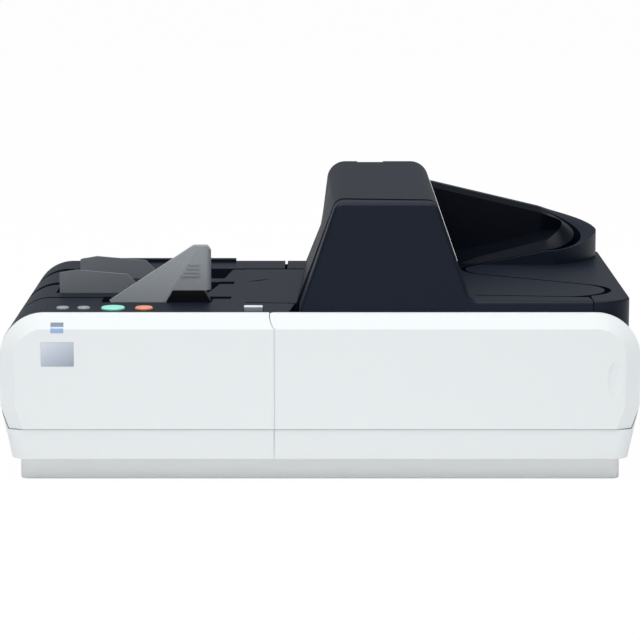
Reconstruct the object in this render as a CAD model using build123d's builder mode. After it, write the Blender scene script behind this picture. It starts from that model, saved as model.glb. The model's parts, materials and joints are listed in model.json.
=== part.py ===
from build123d import *
import math
import os

# ---------------------------------------------------------------------------
# Desktop cheque scanner. Millimetres. X to the right, Y to the back, Z up.
# Origin: on the desk, under the middle of the case.
# ---------------------------------------------------------------------------

# Case
case_width = 510.0
case_depth = 300.0
case_half = case_width / 2
case_front = -case_depth / 2
case_rear = case_depth / 2
shell = 2.5                     # wall of the black mouldings
case_wall = 3.0                 # wall of the white mouldings
seam = 0.6                      # visible gap between two covers
seat_gap = 0.3                  # gap between a loose piece and its seat

# Heights
foot_height = 1.0
plinth_top = 20.0
band_top = 44.0                 # top of the lower white band
taper_top = 60.0
parting_height = 102.0          # white lower case meets the black upper case
left_deck_top = 137.0
panel_top = 137.5
right_deck_top = 146.0

# White case
plinth_inset = 14.0
plinth_front_inset = 15.0
plinth_corner = 6.0
taper_inset = 8.0
case_corner = 12.0
panel_depth = 11.0
band_width = 12.0               # bevelled band round the front panels, across the face
band_depth = 6.0                # and to the back
shoulder_radius = panel_top - parting_height
door_seam_x = -36.6             # visible seam between the fixed left panel and the door
door_edge_radius = 6.0

# Steel chassis and track floor
chassis_inset = 26.0             # from the side of the case to the chassis
chassis_half = case_half - chassis_inset
chassis_sheet = 3.0
chassis_front = case_front + 38.0
chassis_rear = case_rear - 22.0
floor_thickness = 4.0
floor_inset = 9.0               # from the side of the case to the track floor
floor_half_x = case_half - floor_inset
floor_front = case_front + 14.0
floor_rear = case_rear - 6.0
floor_under = parting_height - floor_thickness
chassis_top = floor_under
chassis_under = chassis_top - chassis_sheet

# Cheque track: a straight front leg, three turns and a straight rear leg
track_width = 3.0
half_track = track_width / 2
track_y0 = -93.2                # front leg where it crosses X = 0
track_slope = -0.1
turn_1_radius = 35.0
turn_1 = (200.0, track_y0 + track_slope * 200.0 + turn_1_radius * math.hypot(1, track_slope))
turn_2 = (158.0, 34.0)
turn_2_radius = 35.0
turn_3 = (195.0, 101.0)
turn_3_radius = 32.0
turn_extra = 2.5                # extra slot width round turn 3
rear_leg_y = turn_3[1] + turn_3_radius
band_leg_y = turn_2[1] + turn_2_radius

# Tower
tower_left = -16.7
tower_right = 123.0
tower_slope = 0.349             # sideways lean of the tower's walls
tower_front_y = case_front + panel_depth + 1.0
tower_front_lean = 19.0
tower_top = 222.5
tower_rise = 0.016              # the top rises to the back
tower_rear_y = case_rear - 4.0
tower_split = 1.0               # gap between front and rear covers

# Right deck
right_edge = case_half - 6.0
right_corner = 28.0
strip_right = 217.5             # right end of the door's black strip
strip_seam = 0.6
strip_wall = 4.0                # wall of the strip's right end
deck_front = case_front + panel_depth + 1.0
deck_rear = case_rear - 4.0
wall_outer_y = 61.6             # front face of the outer turn wall

# Left deck
control_right = -128.3
hopper = (-178.0, -60.0, -86.5, -57.0)
pocket_1 = (-219.5, -85.0, -38.0, 21.5)
pocket_2 = (-213.5, -75.5, 41.0, 98.5)
hopper_mouth = (-88.0, -73.0, -69.0)     # right end of the wide mouth and of its slot, and the slot's front
pocket_slant = (8.3, 6.5)       # how far the mouths of the pockets slant in at their right end
tail_slots = ((-61.5, 5.0), (12.5, 14.0), (90.5, 13.0))
deck_right_x = -19.6
exit_y = 97.0                   # rear track where it leaves the tower

# Feed release lever
latch_x = (-60.5, -45.8)
latch_y = (deck_front + 6.0, deck_front + 10.5)
latch_travel = 4.0
lever_foot = ((latch_x[0] + latch_x[1]) / 2 - 3, (latch_x[0] + latch_x[1]) / 2 + 3)

# Rollers
shaft_radius = 2.5
shaft_play = 0.05
drum_radius = 10.0
pinch_radius = 7.0
rear_pinch_radius = 4.5
nip_gap = 0.35
pulley_radius = 8.0
pulley_bottom = 80.0
pulley_height = 9.0
belt_thickness = 1.6
belt_gap = 0.4

os.makedirs("parts", exist_ok=True)


def save(piece, name):
    """Label a finished piece and write its file."""
    piece.label = name
    export_step(piece, f"parts/{name}.step")


def track_y(x):
    """Y of the front leg's centre line at x."""
    return track_y0 + track_slope * x


track_angle = math.degrees(math.atan(track_slope))
track_cos = math.cos(math.radians(track_angle))


def box(x0, x1, y0, y1, z0, z1, mode=Mode.ADD):
    """Block between six coordinates, in the active part."""
    with Locations(((x0 + x1) / 2, (y0 + y1) / 2, (z0 + z1) / 2)):
        Box(x1 - x0, y1 - y0, z1 - z0, mode=mode)


def post(x, y, radius, z0, z1, mode=Mode.ADD):
    """Upright cylinder from z0 to z1, in the active part."""
    with Locations((x, y, (z0 + z1) / 2)):
        Cylinder(radius, z1 - z0, mode=mode)


# --------------------------------------------------------------- base pan ---
pan_half = case_half - plinth_inset
pan_front = case_front + plinth_front_inset
pan_rear = case_rear - plinth_front_inset
foot_radius = 9.0
foot_inset = 24.0
foot_spots = [
    (sx * (pan_half - foot_inset), y)
    for sx in (-1, 1)
    for y in (pan_front + foot_inset, pan_rear - foot_inset)
]
pan_floor_top = foot_height + case_wall

with BuildPart() as base_pan:
    box(-pan_half, pan_half, pan_front, pan_rear, foot_height, plinth_top)
    fillet(base_pan.edges().filter_by(Axis.Z), plinth_corner)
    fillet(base_pan.faces().sort_by(Axis.Z)[0].edges(), 1.2)
    with BuildSketch(Plane.XY.offset(pan_floor_top)):
        with Locations((0, (pan_front + pan_rear) / 2)):
            RectangleRounded(
                2 * (pan_half - case_wall),
                pan_rear - pan_front - 2 * case_wall,
                plinth_corner - case_wall,
            )
    extrude(amount=plinth_top, mode=Mode.SUBTRACT)
    for index in range(7):
        box(-30 + 10 * index, -26 + 10 * index, 60, 110, foot_height, pan_floor_top, Mode.SUBTRACT)
save(base_pan.part, "base_pan")

with BuildPart() as rubber_feet:
    with Locations(*[(x, y, foot_height / 2) for x, y in foot_spots]):
        Cylinder(foot_radius, foot_height)
    fillet(rubber_feet.edges().group_by(Axis.Z)[0], 0.3)
save(rubber_feet.part, "rubber_feet")

# ------------------------------------------------------------- lower case ---
ledge_half = pan_half - 4.0
inlet_x = case_half - 59.0
inlet_z = 46.0
inlet_width = 27.0
inlet_height = 20.0
usb_x = inlet_x - 56.0
usb_z = 40.0
switch_x = inlet_x + 28.0
vent_count = 12
vent_pitch = 8.0
vent_x = -180.0


with BuildPart() as case_block:
    with BuildSketch(Plane.XY.offset(plinth_top)):
        RectangleRounded(case_width - 2 * taper_inset, case_depth - 5, case_corner)
    with BuildSketch(Plane.XY.offset(taper_top)):
        RectangleRounded(case_width, case_depth, case_corner)
    loft()
    with BuildSketch(Plane.XY.offset(taper_top)):
        RectangleRounded(case_width, case_depth, case_corner)
    extrude(amount=parting_height - taper_top)

with BuildPart() as case_hollow:
    with BuildSketch(Plane.XY.offset(plinth_top + case_wall)):
        RectangleRounded(
            case_width - 2 * taper_inset - 2 * case_wall,
            case_depth - 5 - 2 * case_wall,
            case_corner - case_wall,
        )
    with BuildSketch(Plane.XY.offset(taper_top)):
        RectangleRounded(case_width - 2 * case_wall, case_depth - 2 * case_wall, case_corner - case_wall)
    loft()
    with BuildSketch(Plane.XY.offset(taper_top)):
        RectangleRounded(case_width - 2 * case_wall, case_depth - 2 * case_wall, case_corner - case_wall)
    extrude(amount=parting_height - case_wall - taper_top)
    box(-ledge_half, ledge_half, pan_front + 4, pan_rear - 4, plinth_top - 1, taper_top)
    box(-floor_half_x - 0.3, floor_half_x + 0.3, floor_front - 0.3, floor_rear + 0.3,
        taper_top, parting_height + 1)

door_corner = (case_half - taper_inset + 2, band_top, case_half, taper_top + 2)


with BuildPart() as lower_case:
    add(case_block.part)
    add(case_hollow.part, mode=Mode.SUBTRACT)
    # room for the two front panels
    with BuildSketch(Plane.XZ.offset(-deck_front)):
        with BuildLine():
            Polyline(
                (-door_corner[0], band_top),
                (-case_half - 1, door_corner[3]),
                (-case_half - 1, parting_height + 1),
                (case_half + 1, parting_height + 1),
                (case_half + 1, door_corner[3]),
                (door_corner[0], band_top),
                close=True,
            )
        make_face()
    extrude(amount=20, mode=Mode.SUBTRACT)
    # seam line below the door's hinge edge
    box(door_seam_x - 0.35, door_seam_x + 0.35, case_front - 1, case_front + case_wall, plinth_top - 1,
        band_top + 1, Mode.SUBTRACT)
    # rear openings
    box(inlet_x - inlet_width / 2 - 0.2, inlet_x + inlet_width / 2 + 0.2, case_rear - 8, case_rear + 1,
        inlet_z - inlet_height / 2 - 0.2, inlet_z + inlet_height / 2 + 0.2, Mode.SUBTRACT)
    box(switch_x - 6.2, switch_x + 6.2, case_rear - 8, case_rear + 1,
        inlet_z - 10.2, inlet_z + 10.2, Mode.SUBTRACT)
    box(usb_x - 6.2, usb_x + 6.2, case_rear - 8, case_rear + 1,
        usb_z - 5.7, usb_z + 5.7, Mode.SUBTRACT)
    for index in range(vent_count):
        x = vent_x + vent_pitch * index
        box(x - 2, x + 2, case_rear - 8, case_rear + 1, taper_top + 4, parting_height - 14, Mode.SUBTRACT)
save(lower_case.part, "lower_case")

# ------------------------------------------------------------ front panels ---
panel_back = case_front + panel_depth
# the left panel laps over the round hinge edge of the door as far as the visible seam
lap = door_edge_radius - math.sqrt((door_edge_radius + seam) ** 2 - door_edge_radius ** 2)
door_left = door_seam_x - lap
door_axis = (door_left + door_edge_radius, case_front + door_edge_radius)
panel_right = door_left - seam


def panel_profile(side, inner_x, inset, band=0.0):
    """Outline of a front panel in the XZ plane; side is -1 left or 1 right.

    The inset moves every edge but the inner one, and the band only the top and the outer side.
    """
    outer = case_half - inset - band
    low = band_top + seam + inset
    top = panel_top - inset - band
    radius = shoulder_radius - inset - band
    corner_x = door_corner[0] - 0.4 - inset - band
    corner_z = door_corner[3] + 0.6 + inset / 2
    mid = radius * math.sqrt(0.5)
    with BuildLine() as edge:
        Polyline((inner_x, low), (side * corner_x, low), (side * outer, corner_z),
                 (side * outer, top - radius))
        ThreePointArc(
            (side * outer, top - radius),
            (side * (outer - radius + mid), top - radius + mid),
            (side * (outer - radius), top),
        )
        Polyline((side * (outer - radius), top), (inner_x, top), (inner_x, low))
    make_face(edge.edges())


def panel_block(side, inner_x):
    """Solid front panel with the bevelled band along its top and outer side."""
    with BuildPart() as block:
        with BuildSketch(Plane.XZ.offset(-panel_back)) as back:
            panel_profile(side, inner_x, 0)
        extrude(back.sketch, amount=panel_depth - band_depth)
        with BuildSketch(Plane.XZ.offset(-case_front - band_depth)) as knee:
            panel_profile(side, inner_x, 0)
        with BuildSketch(Plane.XZ.offset(-case_front)) as face:
            panel_profile(side, inner_x, 0, band_width)
        loft([knee.sketch, face.sketch], ruled=True)
    return block.part


def panel_hollow(side, inner_x):
    """Room behind the face of a front panel."""
    with BuildPart() as hollow:
        with BuildSketch(Plane.XZ.offset(-panel_back)) as back:
            panel_profile(side, inner_x, case_wall)
        extrude(back.sketch, amount=panel_depth - band_depth - case_wall / 2)
        with BuildSketch(Plane.XZ.offset(-panel_back)) as middle:
            panel_profile(side, inner_x, case_wall, band_width)
        extrude(middle.sketch, amount=panel_depth - case_wall)
    return hollow.part


status_x = -208.5
status_z = 126.5
badge_x = -208.5
badge_z = 105.4
badge_size = (26.0, 19.5)

with BuildPart() as left_front_panel:
    add(panel_block(-1, door_axis[0]))
    post(door_axis[0], door_axis[1], door_edge_radius + seam, band_top - 1, panel_top + 1, Mode.SUBTRACT)
    box(panel_right, door_axis[0] + 1, door_axis[1], panel_back + 1, band_top, panel_top + 1, Mode.SUBTRACT)
    add(panel_hollow(-1, panel_right - case_wall), mode=Mode.SUBTRACT)
    # seat of the badge plate
    box(badge_x - badge_size[0] / 2 - 0.1, badge_x + badge_size[0] / 2 + 0.1, case_front - 1, case_front + 0.8,
        badge_z - badge_size[1] / 2 - 0.1, badge_z + badge_size[1] / 2 + 0.1, Mode.SUBTRACT)
    # window of the status lamp
    box(status_x - 5.1, status_x + 5.1, case_front - 1, panel_back + 1, status_z - 4.1, status_z + 4.1,
        Mode.SUBTRACT)
save(left_front_panel.part, "left_front_panel")

with BuildPart() as badge_plate:
    box(badge_x - badge_size[0] / 2, badge_x + badge_size[0] / 2, case_front, case_front + 0.8,
        badge_z - badge_size[1] / 2, badge_z + badge_size[1] / 2)
    fillet(badge_plate.edges().filter_by(Axis.Y), 1.0)
save(badge_plate.part, "badge_plate")

with BuildPart() as status_window:
    add(panel_block(-1, panel_right))
    box(status_x - 5, status_x + 5, case_front - 1, panel_back, status_z - 4, status_z + 4, Mode.INTERSECT)
save(status_window.part, "status_window")

pin_radius = 1.5
lug_levels = (58.0, 112.0)
lug_thickness = 3.0
boss_radius = 4.4
pin_reach = 7.0                 # how far a hinge pin stands out of its lug
lug_room = 4.2                  # radius of the room round a hinge lug, behind the door's skin
grip_x = 234.5
grip_z = 85.0
grip_size = (11.0, 28.5)
grip_depth = 0.9
catch_x = 231.0
catch_y = deck_front + 0.5
catch_z = floor_under - 6.0

# shallow oval scoop of the finger recess
with BuildPart() as unit_ball:
    Sphere(1)
grip_scoop = scale(unit_ball.part, by=(grip_size[0] / 2, grip_depth, grip_size[1] / 2))

# what the rounding of the door's hinge edge takes away, in front of the axis and behind it
with BuildPart() as hinge_corner:
    box(door_left - 1, door_axis[0], case_front - 1, door_axis[1], band_top, panel_top + 1)
    post(door_axis[0], door_axis[1], door_edge_radius, band_top - 1, panel_top + 2, Mode.SUBTRACT)

with BuildPart() as hinge_back:
    box(door_left - 1, door_axis[0], door_axis[1], panel_back + 1, band_top, panel_top + 1)
    post(door_axis[0], door_axis[1], door_edge_radius - 0.5, band_top - 1, panel_top + 2, Mode.SUBTRACT)

with BuildPart() as door_panel:
    add(panel_block(1, door_left))
    add(hinge_corner.part, mode=Mode.SUBTRACT)
    add(hinge_back.part, mode=Mode.SUBTRACT)
    add(panel_hollow(1, door_left + case_wall), mode=Mode.SUBTRACT)
    # the hinge edge ends behind its rounding, so that the door can swing
    box(door_left - 1, door_left + case_wall + 0.01, door_axis[1] + 1.5, panel_back + 1,
        band_top, panel_top - case_wall, Mode.SUBTRACT)
    # rounded inside of the hinge edge
    for z0, z1 in ((band_top + seam, lug_levels[0] - 0.5),
                   (lug_levels[0] + lug_thickness + 0.5, lug_levels[1] - 0.5),
                   (lug_levels[1] + lug_thickness + 0.5, panel_top - band_width - 1.0)):
        post(door_axis[0], door_axis[1], boss_radius, z0, z1)
    post(door_axis[0], door_axis[1], pin_radius + shaft_play, band_top,
         lug_levels[1] + lug_thickness + pin_reach + 0.5, Mode.SUBTRACT)
    for level in lug_levels:
        post(door_axis[0], door_axis[1], lug_room, level - 0.5, level + lug_thickness + 0.5, Mode.SUBTRACT)
    with Locations((grip_x, case_front, grip_z)):
        add(grip_scoop, mode=Mode.SUBTRACT)
    # boss that meets the catch
    box(catch_x - 6, catch_x + 6, case_front + case_wall - 0.1, catch_y - 0.5, catch_z - 4, catch_z + 4)
save(door_panel.part, "door_panel")

# -------------------------------------------------------------- door hinge ---
lug_radius = 2.7
lug_arm = 1.5                   # half width of a hinge lug's arm
bracket_y = case_front + 16.0
bracket_reach = 9.5

with BuildPart() as hinge_bracket:
    box(door_axis[0] - bracket_reach, door_axis[0] + 9, bracket_y, bracket_y + 2.5, lug_levels[0] - 8,
        lug_levels[1] + lug_thickness + 5)
    # foot that reaches back to the chassis flange
    box(door_axis[0] - bracket_reach, door_axis[0] + 9, bracket_y + 2.5, chassis_front + 8,
        chassis_under - 2.5, chassis_under)
    for level in lug_levels:
        box(door_axis[0] - lug_arm, door_axis[0] + lug_arm, door_axis[1], bracket_y,
            level, level + lug_thickness)
        post(door_axis[0], door_axis[1], lug_radius, level, level + lug_thickness)
        post(door_axis[0], door_axis[1], pin_radius, level - pin_reach, level + lug_thickness + pin_reach)
save(hinge_bracket.part, "hinge_bracket")


# ------------------------------------------------------ chassis and floor ---
flange_y = (chassis_front + 12, chassis_rear - 12)
foot_flange = 12.0
screw_spots = [
    (sx * (chassis_half - foot_flange / 2 - chassis_sheet), y)
    for sx in (-1, 1)
    for y in (flange_y[0] + 20, flange_y[1] - 20)
]
front_drive = (-50.0, track_y(-50.0) - nip_gap / 2 - drum_radius)
feed_spot = (-78.0, hopper[2] - drum_radius + 1.0)
separation_spot = (-50.0, track_y(-50.0) + nip_gap / 2 + drum_radius)
tower_drives = [(x, track_y(x) + nip_gap / 2 + drum_radius) for x in (2.0, 92.0)]
band_drive = (170.0, band_leg_y + nip_gap / 2 + drum_radius)
rear_drive = (80.0, rear_leg_y - nip_gap / 2 - drum_radius)
belt_drives = [*tower_drives, band_drive, rear_drive]
tower_pinches = [(x, track_y(x) - nip_gap / 2 - pinch_radius) for x in (2.0, 92.0)]
band_pinch = (170.0, band_leg_y - nip_gap / 2 - pinch_radius)
rear_pinch = (80.0, rear_leg_y + nip_gap / 2 + rear_pinch_radius)
frame_left = -12.5              # left end of the door's inner frame
floor_shafts = [front_drive, feed_spot, separation_spot, *belt_drives]
pin_pinches = [(band_pinch, pinch_radius, 140.0), (rear_pinch, rear_pinch_radius, 180.0)]
idler_pin = 2.0
bush_radius = 5.0
bush_fit = 0.02
gate_spot = (-34.0, exit_y - 0.9)
plate_pivots = ((-92.0, -30.0), (-81.5, 49.0))
neck_x = -109.0
neck_slot = (neck_x - 3.0, neck_x + 3.0, hopper[2] + 1.0, hopper[3] + 1.0)

with BuildPart() as chassis:
    box(-chassis_half, chassis_half, chassis_front, chassis_rear, chassis_under, chassis_top)
    for side in (-1, 1):
        x0, x1 = sorted((side * chassis_half, side * (chassis_half - chassis_sheet)))
        box(x0, x1, flange_y[0], flange_y[1], pan_floor_top, chassis_top)
        x0, x1 = sorted((side * chassis_half, side * (chassis_half - chassis_sheet - foot_flange)))
        box(x0, x1, flange_y[0], flange_y[1], pan_floor_top, pan_floor_top + chassis_sheet)
    for x, y in floor_shafts:
        post(x, y, bush_radius + bush_fit, chassis_under - 1, chassis_top + 1, Mode.SUBTRACT)
    for x, y in screw_spots:
        post(x, y, 1.6, pan_floor_top - 1, pan_floor_top + chassis_sheet + 1, Mode.SUBTRACT)
    box(*neck_slot, chassis_under - 1, chassis_top + 1, Mode.SUBTRACT)
    post(gate_spot[0], gate_spot[1], 2.6, chassis_under - 1, chassis_top + 1, Mode.SUBTRACT)
save(chassis.part, "chassis")

with BuildPart() as track_floor:
    box(-floor_half_x, floor_half_x, floor_front, floor_rear, floor_under, parting_height)
    # the door's frame passes in front of this floor
    with BuildSketch(Plane.XY.offset(floor_under)):
        with BuildLine():
            Polyline(
                (door_axis[0] - bracket_reach - 2, floor_front - 1),
                (door_axis[0] - bracket_reach - 2, bracket_y + 4),
                (frame_left - 2.5, bracket_y + 4),
                (frame_left - 2.5, track_y(frame_left) - 12),
                (strip_right + 2, track_y(strip_right) - 12),
                (strip_right + 2, floor_front - 1),
                close=True,
            )
        make_face()
    extrude(amount=floor_thickness, mode=Mode.SUBTRACT)
    for x, y in floor_shafts:
        post(x, y, bush_radius + bush_fit, floor_under - 1, parting_height + 1, Mode.SUBTRACT)
    box(*neck_slot, floor_under - 1, parting_height + 1, Mode.SUBTRACT)
    post(gate_spot[0], gate_spot[1], 1.55, floor_under - 1, parting_height + 1, Mode.SUBTRACT)
    for x, y in plate_pivots:
        post(x, y, 1.5, floor_under - 1, parting_height + 1, Mode.SUBTRACT)
    for (x, y), radius, top in pin_pinches:
        post(x, y, idler_pin, parting_height, top)
        post(x, y, idler_pin + 1.5, parting_height, parting_height + 2)
    # shoe that the foot of the feed release lever slides in
    box(lever_foot[0] - 2.4, lever_foot[1] + 2.4, latch_y[0] - 1.5, latch_y[1] + latch_travel + 2,
        parting_height, parting_height + 8)
    box(lever_foot[0] - 0.4, lever_foot[1] + 0.4, latch_y[0] - 0.5, latch_y[1] + latch_travel + 1,
        parting_height + 1, parting_height + 9, Mode.SUBTRACT)
save(track_floor.part, "track_floor")

with BuildPart() as shaft_bushes:
    for x, y in floor_shafts:
        post(x, y, bush_radius, chassis_under, parting_height)
        post(x, y, shaft_radius + shaft_play, chassis_under - 1, parting_height + 1, Mode.SUBTRACT)
save(shaft_bushes.part, "shaft_bushes")

with BuildPart() as case_screws:
    for x, y in screw_spots:
        post(x, y, 1.5, pan_floor_top, pan_floor_top + chassis_sheet)
        post(x, y, 3.0, pan_floor_top + chassis_sheet, pan_floor_top + chassis_sheet + 2.2)
        post(x, y, 1.3, pan_floor_top + chassis_sheet + 1.0, pan_floor_top + chassis_sheet + 2.3, Mode.SUBTRACT)
save(case_screws.part, "case_screws")


def track_slab(x0, x1, offset0, offset1, z0, z1, mode=Mode.ADD):
    """Upright slab beside the front leg, between two sideways offsets from its centre line."""
    with BuildSketch(Plane.XY.offset(z0)) as plan:
        with BuildLine() as edge:
            Polyline((x0, track_y(x0) + offset0), (x1, track_y(x1) + offset0),
                     (x1, track_y(x1) + offset1), (x0, track_y(x0) + offset1), close=True)
        make_face(edge.edges())
    extrude(plan.sketch, amount=z1 - z0, mode=mode)


def tower_side(z, gap=0.0):
    """X of the tower's right wall at height z."""
    return tower_right + gap - tower_slope * max(0.0, z - panel_top)


def polar(centre, radius, angle):
    """Point on a circle; the angle is in degrees."""
    return (centre[0] + radius * math.cos(math.radians(angle)),
            centre[1] + radius * math.sin(math.radians(angle)))


# ------------------------------------------------------------ turn geometry ---
turn_gap_x = turn_2[0] - turn_1[0]
turn_gap_y = turn_2[1] - turn_1[1]
turn_span = math.hypot(turn_gap_x, turn_gap_y)
cross_angle = math.degrees(
    math.atan2(turn_gap_y, turn_gap_x) - math.acos((turn_1_radius + turn_2_radius) / turn_span)
)
front_angle = -90 + track_angle
island_left = tower_right - 6
sky = 260.0

# everything left of the tower's right wall, with a small gap
with BuildPart() as tower_keepout:
    with BuildSketch(Plane.XZ.offset(-case_rear - 5)):
        with BuildLine():
            Polyline((island_left - 60, 0), (tower_right + seat_gap, 0), (tower_right + seat_gap, panel_top),
                     (tower_side(sky, seat_gap), sky), (island_left - 60, sky), close=True)
        make_face()
    extrude(amount=case_depth + 10)

# face of the oval island inside turn 1
inner_1 = turn_1_radius - half_track
outer_2 = turn_2_radius + half_track
with BuildSketch() as island_face:
    with BuildLine():
        start = (island_left, track_y(island_left) + half_track / track_cos)
        tangent_1 = polar(turn_1, inner_1, front_angle)
        tangent_2 = polar(turn_1, inner_1, cross_angle)
        tangent_3 = polar(turn_2, outer_2, cross_angle + 180)
        Line(start, tangent_1)
        ThreePointArc(tangent_1, polar(turn_1, inner_1 - turn_extra / 2, 0), tangent_2)
        Line(tangent_2, tangent_3)
        ThreePointArc(tangent_3, polar(turn_2, outer_2, cross_angle / 2 + 180), polar(turn_2, outer_2, 180))
        Polyline(polar(turn_2, outer_2, 180), (island_left, turn_2[1]), start)
    make_face()

# face inside turn 3
inner_3 = turn_3_radius - half_track
with BuildSketch() as guide_face:
    with BuildLine():
        Polyline(polar(turn_2, outer_2, 90), (turn_3[0], turn_3[1] - inner_3))
        ThreePointArc((turn_3[0], turn_3[1] - inner_3), (turn_3[0] + inner_3 - turn_extra, turn_3[1]),
                      (turn_3[0], turn_3[1] + inner_3))
        Polyline((turn_3[0], turn_3[1] + inner_3), (island_left - 25, turn_3[1] + inner_3),
                 (island_left - 25, turn_2[1] + 1), (polar(turn_2, outer_2, 180)[0], turn_2[1] + 1))
        ThreePointArc((polar(turn_2, outer_2, 180)[0], turn_2[1] + 1), polar(turn_2, outer_2, 135),
                      polar(turn_2, outer_2, 90))
    make_face()

# face of the wall outside turn 3
outer_3 = turn_3_radius + half_track
inner_2 = turn_2_radius - half_track
tip_angle = 180 - math.degrees(math.asin((wall_outer_y - turn_2[1]) / inner_2))
wall_tip = polar(turn_2, inner_2, tip_angle)
wall_bulge = (226.5, 79.0)
wall_right = (244.0, 115.0)
wall_shoulder = (233.5, 137.0)
wall_back = 207.0
with BuildSketch() as wall_face:
    with BuildLine():
        ThreePointArc(wall_tip, polar(turn_2, inner_2, (tip_angle + 90) / 2), (turn_2[0], turn_2[1] + inner_2))
        Line((turn_2[0], turn_2[1] + inner_2), (turn_3[0], turn_3[1] - outer_3))
        ThreePointArc((turn_3[0], turn_3[1] - outer_3), (turn_3[0] + outer_3 + 0.8, turn_3[1]),
                      (turn_3[0], turn_3[1] + outer_3))
        Polyline((turn_3[0], turn_3[1] + outer_3), (island_left - 30, turn_3[1] + outer_3),
                 (island_left - 30, deck_rear), (wall_back, deck_rear))
        ThreePointArc((wall_back, deck_rear), wall_shoulder, wall_right)
        ThreePointArc(wall_right, wall_bulge, (203.0, wall_outer_y))
        Line((203.0, wall_outer_y), wall_tip)
    make_face()

# face of the right deck: the corner, the right margin and the tongue between the turns
outer_1 = turn_1_radius + half_track
strip_end = strip_right + strip_seam
strip_drop = turn_1[1] - math.sqrt(outer_1 ** 2 - (strip_end - turn_1[0]) ** 2)
corner_mid = right_corner * (1 - math.sqrt(0.5))
with BuildSketch() as deck_face:
    with BuildLine():
        Polyline((strip_end, strip_drop), (strip_end, deck_front),
                 (right_edge - right_corner, deck_front))
        ThreePointArc((right_edge - right_corner, deck_front),
                      (right_edge - corner_mid, deck_front + corner_mid),
                      (right_edge, deck_front + right_corner))
        Polyline((right_edge, deck_front + right_corner), (right_edge, deck_rear - 6),
                 (right_edge - 6, deck_rear), (190, deck_rear), (190, turn_2[1] + inner_2),
                 (turn_2[0], turn_2[1] + inner_2))
        ThreePointArc((turn_2[0], turn_2[1] + inner_2), polar(turn_2, inner_2, 160),
                      polar(turn_2, inner_2, cross_angle + 180))
        Line(polar(turn_2, inner_2, cross_angle + 180), polar(turn_1, outer_1, cross_angle))
        ThreePointArc(polar(turn_1, outer_1, cross_angle), (turn_1[0] + outer_1 + turn_extra / 2, turn_1[1]),
                      (strip_end, strip_drop))
    make_face()
    with BuildLine() as well_edge:
        Polyline((100, turn_3[1] - outer_3), (turn_3[0], turn_3[1] - outer_3))
        ThreePointArc((turn_3[0], turn_3[1] - outer_3), (turn_3[0] + outer_3 + 0.8, turn_3[1]),
                      (turn_3[0], turn_3[1] + outer_3))
        Polyline((turn_3[0], turn_3[1] + outer_3), (100, turn_3[1] + outer_3), (100, turn_3[1] - outer_3))
    make_face(well_edge.edges(), mode=Mode.SUBTRACT)
    add(offset(wall_face.sketch, amount=seat_gap, mode=Mode.PRIVATE), mode=Mode.SUBTRACT)


def hollow_face(face, wall):
    """The same face, smaller by one wall all round."""
    return offset(face, amount=-wall, mode=Mode.PRIVATE)


# --------------------------------------------------- right deck and islands ---
with BuildPart() as right_deck:
    with BuildSketch(Plane.XY.offset(parting_height)):
        add(deck_face.sketch)
    extrude(amount=right_deck_top - parting_height)
    rim = right_deck.faces().sort_by(Axis.Z)[-1].edges().filter_by(
        lambda e: e.center().X > right_edge - 0.5
        or (e.center().X > strip_end + 0.5 and e.center().Y < deck_front + right_corner)
    )
    fillet(rim, 2.0)
    # hollow underside of the tongue
    with BuildSketch(Plane.XY.offset(parting_height)):
        with Locations(turn_2):
            Circle(wall_outer_y - turn_2[1] - shell)
        with Locations((right_edge - 9, -20), (right_edge - 9, wall_outer_y - 9)):
            Circle(5)
        make_hull()
    extrude(amount=right_deck_top - parting_height - shell, mode=Mode.SUBTRACT)
    post(band_pinch[0], band_pinch[1], pinch_radius + 1, parting_height, right_deck_top - shell, Mode.SUBTRACT)
save(right_deck.part, "right_deck")

with BuildPart() as front_island:
    with BuildSketch(Plane.XY.offset(parting_height)):
        add(island_face.sketch)
    extrude(amount=right_deck_top - parting_height)
    with BuildSketch(Plane.XY.offset(parting_height)):
        add(hollow_face(island_face.sketch, shell))
    extrude(amount=right_deck_top - parting_height - shell, mode=Mode.SUBTRACT)
    add(tower_keepout.part, mode=Mode.SUBTRACT)
save(front_island.part, "front_island")

rim_front_z = (144.0, 147.2, 0.2)       # x, height and slope of the rim along the front leg of turn 3
rim_rear_z = (98.0, 210.0, -0.237)      # the same along its rear leg
crest_front = 5.0                       # how much higher the guide's inner edge is at the front
crest_rear = -4.5                       # and at the rear
crest_radius = 20.0
rim_steps = 6


def rim_line(end, x):
    """Height of the sloping rim at x, along one of its two legs."""
    return end[1] + end[2] * (x - end[0])


def ease(start, finish, slope_in, slope_out, share):
    """Smooth curve between two heights, with its slope given at both ends."""
    rest = 1 - share
    return (start * rest ** 2 * (1 + 2 * share) + finish * share ** 2 * (1 + 2 * rest)
            + slope_in * share * rest ** 2 - slope_out * share ** 2 * rest)


def rim_section(x, y, across, rim, crest):
    """Face above the rim, upright, from near the spine of turn 3 outwards along a direction."""
    plane = Plane(origin=(x, y, 0), x_dir=(*across, 0), z_dir=(across[1], -across[0], 0))
    inner, knee, outer = 3.0, turn_3_radius - half_track, 72.0
    steep = (crest - rim) / (knee - crest_radius)
    with BuildSketch(plane) as section:
        with BuildLine() as edge:
            Polyline((inner, rim + steep * (knee - inner)), (knee, rim), (outer, rim), (outer, sky + 20),
                     (inner, sky + 20), close=True)
        make_face(edge.edges())
    return section.sketch


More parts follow.
